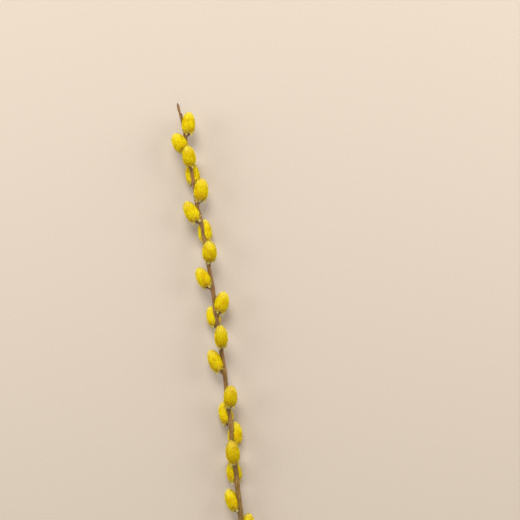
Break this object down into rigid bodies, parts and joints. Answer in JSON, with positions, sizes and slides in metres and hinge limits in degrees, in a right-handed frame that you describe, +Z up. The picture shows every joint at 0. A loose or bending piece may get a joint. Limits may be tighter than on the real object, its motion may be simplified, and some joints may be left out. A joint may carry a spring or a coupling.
{
  "type": "willow branch",
  "caption": "Cut willow shoot in catkin, lying down: a slender bowed bark stem set with silky yellow egg-shaped catkins, with a tip bud and a bare foot.",
  "frame": {"origin": "centre of the branch's box, on the surface it lies on", "axes": "+Z up, +Y along the branch from the cut end to the tip, +X to the right seen from above with the tip pointing away"},
  "size_m": [0.0316, 0.6012, 0.0237],
  "materials": {
    "catkin_silk": "dense silky hair dyed lemon yellow, matt with a soft pale edge",
    "willow_bark": "smooth young bark, warm brown to olive brown, slightly shiny",
    "bud_scale": "thin hard bud scale, dark brown, slightly glossy",
    "cut_wood": "pale knife-cut wood with a brown pith"
  },
  "bodies": {
    "root": {"willow_branch": "catkin_silk"}
  },
  "joints": []
}
